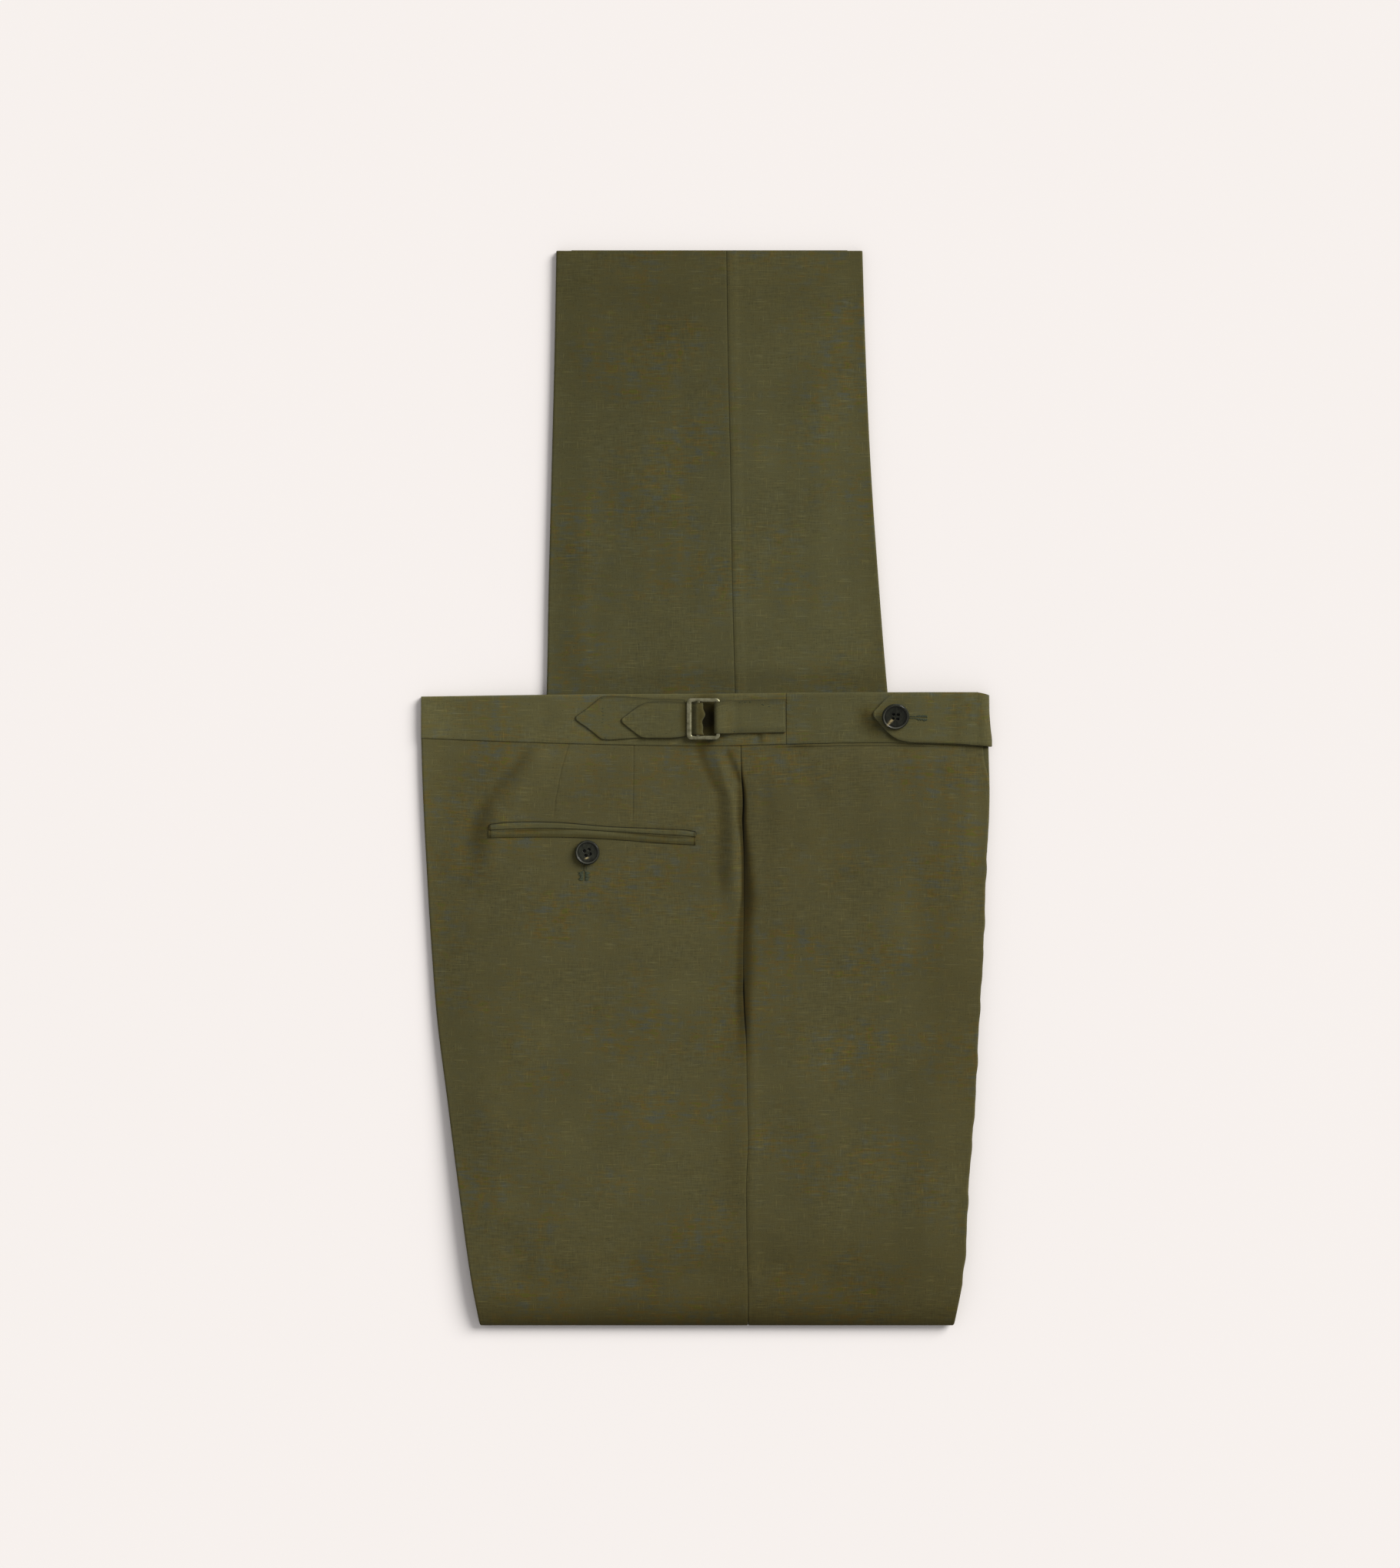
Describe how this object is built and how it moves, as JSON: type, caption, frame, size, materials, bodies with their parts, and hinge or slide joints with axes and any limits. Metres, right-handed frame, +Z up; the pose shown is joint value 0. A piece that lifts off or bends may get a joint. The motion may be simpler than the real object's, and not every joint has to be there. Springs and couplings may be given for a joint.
{
  "type": "pleated linen trousers",
  "caption": "Flat-folded linen trousers with a buttoned waistband extension, a side adjuster with a slide buckle, a front pleat and a jetted back pocket.",
  "frame": {"origin": "centre of the overall box, at the height of the surface the trousers lie on", "axes": "+Z up from the surface, +X towards the garment's front edge, +Y towards the hems, along the folded length"},
  "size_m": [0.4006, 0.755, 0.0201],
  "materials": {
    "linen": "plain-weave olive linen, matt, with slubs",
    "inner_linen": "the same linen on the hidden layers",
    "horn": "dark mottled horn, soft gloss",
    "nickel": "worn pale nickel plating"
  },
  "bodies": {
    "root": {"right_back_panel": "linen", "right_front_panel": "linen", "left_back_panel": "linen", "left_front_panel": "linen", "inner_layers": "inner_linen", "pleat_fold": "linen", "waistband_right_back": "linen", "waistband_right_front": "linen", "waistband_left": "linen", "extension_tab": "linen", "adjuster_tab": "linen", "adjuster_strap": "linen", "buckle_strap": "linen", "adjuster_buckle": "nickel", "pocket_upper_jet": "linen", "pocket_lower_jet": "linen", "pocket_button": "horn", "waistband_button": "horn"}
  },
  "joints": []
}
